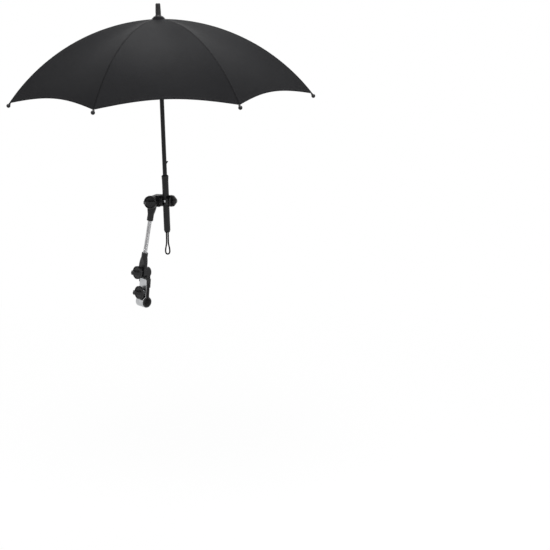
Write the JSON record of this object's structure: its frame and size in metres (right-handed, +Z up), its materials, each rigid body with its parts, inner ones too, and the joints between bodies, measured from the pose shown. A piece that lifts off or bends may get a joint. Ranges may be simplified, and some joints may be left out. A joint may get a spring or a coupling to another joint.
{
  "type": "clamp-on pram parasol",
  "caption": "Folding parasol with a domed cloth canopy, straight pole and grip, held by a wound steel neck and a knob-tightened clamp for a pram's tube.",
  "frame": {"origin": "on the axis of the pram's tube, at the middle of the clamp's width", "axes": "+X along the clamped tube, the clamp's wing knobs towards -Y, +Z up"},
  "size_m": [0.82, 0.8099, 0.8451],
  "materials": {
    "black_plastic": "satin",
    "black_steel": "satin",
    "black_cloth": "woven",
    "black_cord": "braided",
    "black_rubber": "matt",
    "bright_steel": "zinc plated",
    "spring_steel": "bright"
  },
  "bodies": {
    "clamp": {"clamp_strap": "bright_steel", "clamp_liner": "black_rubber", "clamp_bracket": "black_plastic", "clamp_bolt": "bright_steel", "arm_bolt": "bright_steel", "knob_washers": "bright_steel"},
    "clamp_knob": {"clamp_knob": "black_plastic"},
    "arm_knob": {"arm_knob": "black_plastic"},
    "arm": {"neck_arm": "black_plastic"},
    "neck": {"neck_spring": "spring_steel", "neck_core": "black_rubber"},
    "sleeve": {"neck_sleeve": "black_plastic"},
    "block": {"upper_block": "black_plastic", "pivot_bolt": "bright_steel", "pivot_nut": "spring_steel", "pivot_washer": "bright_steel", "pole_eye_bolt": "bright_steel"},
    "pivot_knob": {"pivot_knob": "black_plastic"},
    "jaw": {"pole_jaw": "black_plastic"},
    "pole_knob": {"pole_knob": "black_plastic"},
    "pole": {"shaft": "black_steel", "handle": "black_plastic", "handle_plug": "black_plastic", "wrist_strap": "black_cord", "notch": "black_plastic", "notch_wire": "bright_steel", "ferrule": "black_plastic", "top_cap": "black_cloth", "stop_pin": "bright_steel"},
    "runner": {"runner": "black_plastic"},
    "open_catch": {"open_catch": "bright_steel"},
    "closed_catch": {"closed_catch": "bright_steel"},
    "rib_1": {"rib_1": "black_steel", "rib_tip_1": "black_plastic", "canopy_panel_1": "black_cloth"},
    "stretcher_1": {"stretcher_1": "black_steel"},
    "rib_2": {"rib_2": "black_steel", "rib_tip_2": "black_plastic", "canopy_panel_2": "black_cloth"},
    "stretcher_2": {"stretcher_2": "black_steel"},
    "rib_3": {"rib_3": "black_steel", "rib_tip_3": "black_plastic", "canopy_panel_3": "black_cloth"},
    "stretcher_3": {"stretcher_3": "black_steel"},
    "rib_4": {"rib_4": "black_steel", "rib_tip_4": "black_plastic", "canopy_panel_4": "black_cloth"},
    "stretcher_4": {"stretcher_4": "black_steel"},
    "rib_5": {"rib_5": "black_steel", "rib_tip_5": "black_plastic", "canopy_panel_5": "black_cloth"},
    "stretcher_5": {"stretcher_5": "black_steel"},
    "rib_6": {"rib_6": "black_steel", "rib_tip_6": "black_plastic", "canopy_panel_6": "black_cloth"},
    "stretcher_6": {"stretcher_6": "black_steel"},
    "rib_7": {"rib_7": "black_steel", "rib_tip_7": "black_plastic", "canopy_panel_7": "black_cloth"},
    "stretcher_7": {"stretcher_7": "black_steel"}
  },
  "joints": [
    {"name": "clamp_knob_turn", "type": "hinge", "parent": "clamp", "child": "clamp_knob", "pos_m": [0, -0.00494, 0.0277], "axis": [0, -0.9942, 0.108], "range_deg": [0, 1080]},
    {"name": "arm_tilt", "type": "hinge", "parent": "clamp", "child": "arm", "pos_m": [0, -0.00245, 0.08577], "axis": [0, 0.9942, -0.108], "range_deg": [-90, 90]},
    {"name": "arm_knob_turn", "type": "hinge", "parent": "clamp", "child": "arm_knob", "pos_m": [0, -0.00901, 0.08648], "axis": [0, -0.9942, 0.108], "range_deg": [0, 1080]},
    {"name": "neck_twist", "type": "hinge", "parent": "arm", "child": "neck", "pos_m": [0.00787, 0.00375, 0.14289], "axis": [0.1357, 0.107, 0.985], "range_deg": [-170, 170]},
    {"name": "neck_bend", "type": "hinge", "parent": "neck", "child": "sleeve", "pos_m": [0.01432, 0.00884, 0.18968], "axis": [-0.4864, 0.8733, -0.0279], "range_deg": [-50, 50], "deforming": ["neck_spring", "neck_core"]},
    {"name": "block_tilt", "type": "hinge", "parent": "sleeve", "child": "block", "pos_m": [0.02823, 0.0198, 0.29064], "axis": [-0.4864, 0.8733, -0.0279], "range_deg": [-80, 26]},
    {"name": "pivot_knob_turn", "type": "hinge", "parent": "block", "child": "pivot_knob", "pos_m": [0.03144, 0.01404, 0.29082], "axis": [0.4864, -0.8733, 0.0279], "range_deg": [0, 1080]},
    {"name": "pole_jaw_slide", "type": "slide", "parent": "block", "child": "jaw", "axis": [0.8727, 0.4871, 0.0327], "range_m": [0, 0.003]},
    {"name": "pole_knob_turn", "type": "hinge", "parent": "jaw", "child": "pole_knob", "pos_m": [0.058, 0.05766, 0.29157], "axis": [0.8727, 0.4871, 0.0327], "range_deg": [0, 1080]},
    {"name": "pole_slide", "type": "slide", "parent": "block", "child": "pole", "axis": [-0.0421, 0.0084, 0.9991], "range_m": [-0.005, 0.045]},
    {"name": "runner_slide", "type": "slide", "parent": "pole", "child": "runner", "axis": [0.0421, -0.0084, -0.9991], "range_m": [0, 0.27822], "deforming": ["canopy_panel_1", "canopy_panel_2", "canopy_panel_3", "canopy_panel_4", "canopy_panel_5", "canopy_panel_6", "canopy_panel_7", "open_catch", "closed_catch"]},
    {"name": "rib_1_swing", "type": "hinge", "parent": "pole", "child": "rib_1", "pos_m": [0.01819, 0.06155, 0.78432], "axis": [-0.5812, -0.8136, -0.0177], "range_deg": [0, 61]},
    {"name": "rib_2_swing", "type": "hinge", "parent": "pole", "child": "rib_2", "pos_m": [0.01671, 0.053, 0.78433], "axis": [0.273, -0.9618, 0.0196], "range_deg": [0, 61]},
    {"name": "rib_3_swing", "type": "hinge", "parent": "pole", "child": "rib_3", "pos_m": [0.02246, 0.04652, 0.78463], "axis": [0.9216, -0.3858, 0.0421], "range_deg": [0, 61]},
    {"name": "rib_4_swing", "type": "hinge", "parent": "pole", "child": "rib_4", "pos_m": [0.03112, 0.04697, 0.78499], "axis": [0.8762, 0.4808, 0.0329], "range_deg": [0, 61]},
    {"name": "rib_5_swing", "type": "hinge", "parent": "pole", "child": "rib_5", "pos_m": [0.03616, 0.05403, 0.78514], "axis": [0.171, 0.9853, -0.0011], "range_deg": [0, 61]},
    {"name": "rib_6_swing", "type": "hinge", "parent": "pole", "child": "rib_6", "pos_m": [0.03379, 0.06238, 0.78497], "axis": [-0.663, 0.7478, -0.0343], "range_deg": [0, 61]},
    {"name": "rib_7_swing", "type": "hinge", "parent": "pole", "child": "rib_7", "pos_m": [0.02579, 0.06573, 0.7846], "axis": [-0.9977, -0.0527, -0.0416], "range_deg": [0, 61]},
    {"name": "stretcher_1_swing", "type": "hinge", "parent": "rib_1", "child": "stretcher_1", "pos_m": [-0.12973, 0.16831, 0.7344], "axis": [-0.5812, -0.8136, -0.0177], "range_deg": [-122, 0]},
    {"name": "stretcher_2_swing", "type": "hinge", "parent": "rib_2", "child": "stretcher_2", "pos_m": [-0.15855, 0.00224, 0.73458], "axis": [0.273, -0.9618, 0.0196], "range_deg": [-122, 0]},
    {"name": "stretcher_3_swing", "type": "hinge", "parent": "rib_3", "child": "stretcher_3", "pos_m": [-0.04681, -0.12381, 0.74035], "axis": [0.9216, -0.3858, 0.0421], "range_deg": [-122, 0]},
    {"name": "stretcher_4_swing", "type": "hinge", "parent": "rib_4", "child": "stretcher_4", "pos_m": [0.12136, -0.11492, 0.74737], "axis": [0.8762, 0.4808, 0.0329], "range_deg": [-122, 0]},
    {"name": "stretcher_5_swing", "type": "hinge", "parent": "rib_5", "child": "stretcher_5", "pos_m": [0.21931, 0.0222, 0.75035], "axis": [0.171, 0.9853, -0.0011], "range_deg": [-122, 0]},
    {"name": "stretcher_6_swing", "type": "hinge", "parent": "rib_6", "child": "stretcher_6", "pos_m": [0.1733, 0.18432, 0.74705], "axis": [-0.663, 0.7478, -0.0343], "range_deg": [-122, 0]},
    {"name": "stretcher_7_swing", "type": "hinge", "parent": "rib_7", "child": "stretcher_7", "pos_m": [0.01796, 0.24934, 0.73995], "axis": [-0.9977, -0.0527, -0.0416], "range_deg": [-122, 0]},
    {"name": "open_catch_press", "type": "slide", "parent": "pole", "child": "open_catch", "axis": [-0.3858, -0.9226, -0.0085], "range_m": [0, 0.0045], "stiffness_N_per_m": 400},
    {"name": "closed_catch_press", "type": "slide", "parent": "pole", "child": "closed_catch", "axis": [-0.3858, -0.9226, -0.0085], "range_m": [0, 0.0045], "stiffness_N_per_m": 400}
  ],
  "couplings": [
    {"joint": "pole_knob_turn", "follows": "pole_jaw_slide", "rad_per_m": 6283.2},
    {"joint": "rib_1_swing", "follows": "runner_slide", "rad_per_m": 3.8266},
    {"joint": "rib_2_swing", "follows": "runner_slide", "rad_per_m": 3.8266},
    {"joint": "rib_3_swing", "follows": "runner_slide", "rad_per_m": 3.8266},
    {"joint": "rib_4_swing", "follows": "runner_slide", "rad_per_m": 3.8266},
    {"joint": "rib_5_swing", "follows": "runner_slide", "rad_per_m": 3.8266},
    {"joint": "rib_6_swing", "follows": "runner_slide", "rad_per_m": 3.8266},
    {"joint": "rib_7_swing", "follows": "runner_slide", "rad_per_m": 3.8266},
    {"joint": "stretcher_1_swing", "follows": "runner_slide", "rad_per_m": -7.6532},
    {"joint": "stretcher_2_swing", "follows": "runner_slide", "rad_per_m": -7.6532},
    {"joint": "stretcher_3_swing", "follows": "runner_slide", "rad_per_m": -7.6532},
    {"joint": "stretcher_4_swing", "follows": "runner_slide", "rad_per_m": -7.6532},
    {"joint": "stretcher_5_swing", "follows": "runner_slide", "rad_per_m": -7.6532},
    {"joint": "stretcher_6_swing", "follows": "runner_slide", "rad_per_m": -7.6532},
    {"joint": "stretcher_7_swing", "follows": "runner_slide", "rad_per_m": -7.6532}
  ]
}
